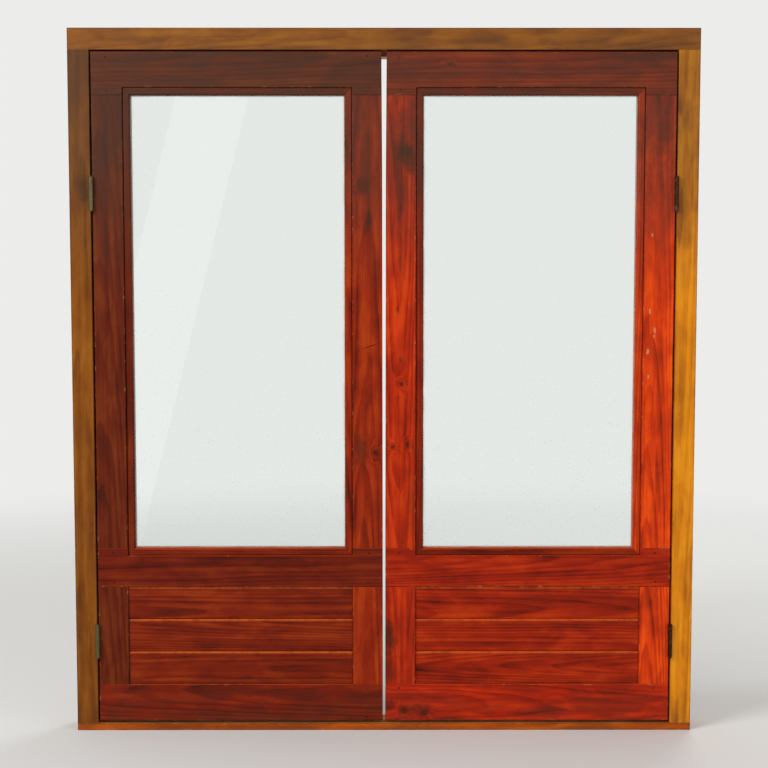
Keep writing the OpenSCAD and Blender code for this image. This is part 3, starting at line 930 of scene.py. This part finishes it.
def screw_halves(mesh, place):
    """Adds to mesh a screw head that is parted by its slot, its foot a little below the plane of place"""
    for flip in (1, -1):
        rings = []
        for radius, height in SCREW_LAYERS:
            start = math.asin(SCREW_SLOT / 2 / radius)
            step = (math.pi - 2 * start) / SCREW_ARC_STEPS
            arc = [start + step * i for i in range(SCREW_ARC_STEPS + 1)]
            ring = [Vector((radius * math.cos(a), flip * radius * math.sin(a), height)) for a in arc]
            rings.append([mesh.verts.new(place @ point) for point in ring])
        mesh.faces.new(rings[0])
        mesh.faces.new(rings[-1])
        add_sides(mesh, rings, smooth=False)


def small_pieces(name, body, material, places, add, *shape):
    """One joined mesh of like small pieces, which add makes at each place, riding on a body"""
    mesh = bmesh.new()
    for place in places:
        add(mesh, place, *shape)
    bmesh.ops.recalc_face_normals(mesh, faces=mesh.faces)
    piece = new_object(name, mesh, material)
    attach(piece, body)


def nail_places(side, rng):
    """Two nails through each lap of a rail over a stile"""
    places = []
    for part in STILES:
        low, high = stile_face(side, part)
        middle = (low.x + high.x) / 2
        for rail in RAILS:
            rail_low, rail_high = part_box(f"{side}_{rail}")
            bottom = rail_low.z + (LIP if rail == "lock_rail" else 0) + NAIL_INSET
            top = rail_high.z - (LIP if rail == "bottom_rail" else 0) - NAIL_INSET
            for height in (bottom, top):
                x = middle + rng.uniform(-NAIL_SCATTER_ALONG, NAIL_SCATTER_ALONG)
                z = height + rng.uniform(-NAIL_SCATTER_UP, NAIL_SCATTER_UP)
                places.append(facing((0, -1, 0), (x, room_face, z)))
    return places


def bead_pin_places(side, rng):
    """A row of pins along each bead"""
    low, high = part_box(f"{side}_bead_bottom")[0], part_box(f"{side}_bead_top")[1]
    face = room_face + BEAD_RECESS
    places = []
    for start, end, fixed, level in (
            (low.x, high.x, low.z + BEAD_PIN_INSET, True),
            (low.x, high.x, high.z - BEAD_PIN_INSET, True),
            (low.z, high.z, low.x + BEAD_PIN_INSET, False),
            (low.z, high.z, high.x - BEAD_PIN_INSET, False)):
        count = max(2, round((end - start) / BEAD_PIN_SPACING))
        for i in range(count):
            run = start + (end - start) * (i + 0.5) / count
            run += rng.uniform(-BEAD_PIN_SCATTER, BEAD_PIN_SCATTER)
            spot = (run, face, fixed) if level else (fixed, face, run)
            places.append(facing((0, -1, 0), spot))
    return places


def screw_places(side, rng):
    """The screws through the flaps on the leaf and on the jamb, which face each other when it is closed"""
    sign = SIDES[side]
    places = {"leaf": [], "jamb": []}
    for level in HINGES:
        pin_low, pin_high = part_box(f"{side}_{level}_pin")
        pin = (pin_low + pin_high) / 2
        flap_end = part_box(f"{side}_{level}_leaf_flap")[1].y
        for rise, inset in SCREW_PLACES:
            for holder, outward in (("leaf", -sign), ("jamb", sign)):
                spot = (pin.x + outward * FLAP_CLEAR, flap_end - inset, pin.z + rise)
                places[holder].append(facing((-outward, 0, 0), spot, rng.uniform(0, math.pi)))
    return places


def add_fixings():
    """Nails at the laps, pins in the beads and screws in the hinges"""
    rng = random.Random("fixings")
    nail_metal = metal("nail_metal", NAIL_COLOUR, rustiness=0.9, roughness=0.5)
    bed_metal = metal("bed_metal", GRIME_COLOUR, rustiness=0.2, roughness=0.6)
    for side in SIDES:
        leaf = side + "_leaf"
        small_pieces(f"{side}_nails", leaf, nail_metal, nail_places(side, rng),
                     round_head, NAIL_HEAD, NAIL_SEGMENTS)
        small_pieces(f"{side}_bead_pins", leaf, nail_metal, bead_pin_places(side, rng),
                     round_head, BEAD_PIN_HEAD, BEAD_PIN_SEGMENTS)
        screw_colour = scaled_colour(HINGE_COLOURS[side], SCREW_BRIGHTNESS)
        screw_metal = metal("screw_metal_" + side, screw_colour, rustiness=0.5, roughness=0.32)
        for holder, places in screw_places(side, rng).items():
            body = leaf if holder == "leaf" else "frame"
            small_pieces(f"{side}_{holder}_screws", body, screw_metal, places, screw_halves)
            small_pieces(f"{side}_{holder}_screw_beds", body, bed_metal, places,
                         round_head, SCREW_BED, SCREW_BED_SEGMENTS)


def area_lamp(name, place, aim, width, height, power, turn=0.0):
    """A soft rectangular lamp at place, which faces aim and shows only in reflections"""
    data = bpy.data.lights.new(name, "AREA")
    data.shape = "RECTANGLE"
    data.size = width
    data.size_y = height
    data.energy = power
    lamp = bpy.data.objects.new(name, data)
    lamp.location = place
    towards = (Vector(aim) - Vector(place)).to_track_quat("-Z", "Y")
    lamp.rotation_euler = (towards.to_matrix() @ Matrix.Rotation(turn, 3, "Z")).to_euler()
    lamp.visible_camera = False
    lamp.visible_transmission = False
    bpy.context.scene.collection.objects.link(lamp)


def stage():
    """A pale floor that fades into the pale surroundings"""
    material, t = new_material("floor")
    point = t.node("ShaderNodeTexCoord").outputs["Object"]
    away = t.vector("LENGTH", t.vector("MULTIPLY", point, (1, 1, 0)))
    near = t.node("ShaderNodeBsdfDiffuse", {"Color": linear(FLOOR_COLOUR)}).outputs[0]
    far = t.node("ShaderNodeBsdfTransparent").outputs[0]
    surface(t, t.mix_shaders(t.span(away, *FLOOR_FADE), near, far))
    mesh = bmesh.new()
    bmesh.ops.create_circle(mesh, cap_ends=True, segments=FLOOR_SEGMENTS, radius=FLOOR_RADIUS)
    floor = new_object("floor", mesh, material)
    floor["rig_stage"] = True


def surroundings(seen, lighting):
    """A plain world. seen is what shows to the camera, through glass and in reflections, and lighting is
    what falls on the object"""
    world = bpy.data.worlds.new("surroundings")
    bpy.context.scene.world = world
    world.use_nodes = True
    t = Tree(world.node_tree)
    path = t.node("ShaderNodeLightPath").outputs
    shown = t.math("MAXIMUM", path["Is Camera Ray"], path["Is Transmission Ray"])
    shown = t.math("MAXIMUM", shown, path["Is Glossy Ray"])
    backdrop = t.node("ShaderNodeBackground", {0: linear(seen), 1: 1.0}).outputs[0]
    light = t.node("ShaderNodeBackground", {0: (1, 1, 1, 1), 1: lighting}).outputs[0]
    t.node("ShaderNodeOutputWorld", {"Surface": t.mix_shaders(shown, light, backdrop)})


def camera():
    """The camera at the photograph's place, aimed at the middle of the doors and filled by them"""
    low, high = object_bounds()
    middle = (low + high) / 2
    forward = (middle - CAMERA_PLACE).normalized()
    turn = forward.to_track_quat("-Z", "Y")
    reach = 0.0
    for x in (low.x, high.x):
        for y in (low.y, high.y):
            for z in (low.z, high.z):
                seen = turn.inverted() @ (Vector((x, y, z)) - CAMERA_PLACE)
                reach = max(reach, abs(seen.x / seen.z), abs(seen.y / seen.z))
    data = bpy.data.cameras.new("camera")
    data.sensor_width = SENSOR_MM
    data.lens = data.sensor_width / 2 * FRAME_FILL / reach
    made = bpy.data.objects.new("camera", data)
    made.location = CAMERA_PLACE
    made.rotation_mode = "QUATERNION"
    made.rotation_quaternion = turn
    bpy.context.scene.collection.objects.link(made)
    bpy.context.scene.camera = made


# The frame
for member, grain in FRAME_MEMBERS.items():
    wooden(member, grain, FRAME_TONES, "frame_wood", **MARKS[member])

# The leaves
for side in SIDES:
    finish_stiles(side)
    finish_rails(side)
    finish_boards(side)
    finish_beads(side)
for side in SIDES:
    finish_glass(side)
finish_hinges()
add_fixings()

# The light and the camera. The tall streak lamp is the pale streak that the left glass reflects
stage()
surroundings(BACKDROP_COLOUR, WORLD_LIGHT)
area_lamp("key", (-3.4, -3.0, 3.8), aim=(0, 0, 0.9), width=2.2, height=2.2, power=170)
area_lamp("fill", (3.2, -3.0, 1.6), aim=(0, 0, 1.0), width=2.0, height=2.4, power=30)
area_lamp("back", (1.8, 3.4, 3.0), aim=(0, 0, 1.0), width=2.0, height=2.0, power=60)
area_lamp("streak", (-1.7, -7.5, 1.2), aim=(-0.6, 0, 1.3), width=0.55, height=5.5, power=10,
          turn=math.radians(-14))
camera()

bpy.context.scene.view_settings.view_transform = "Standard"
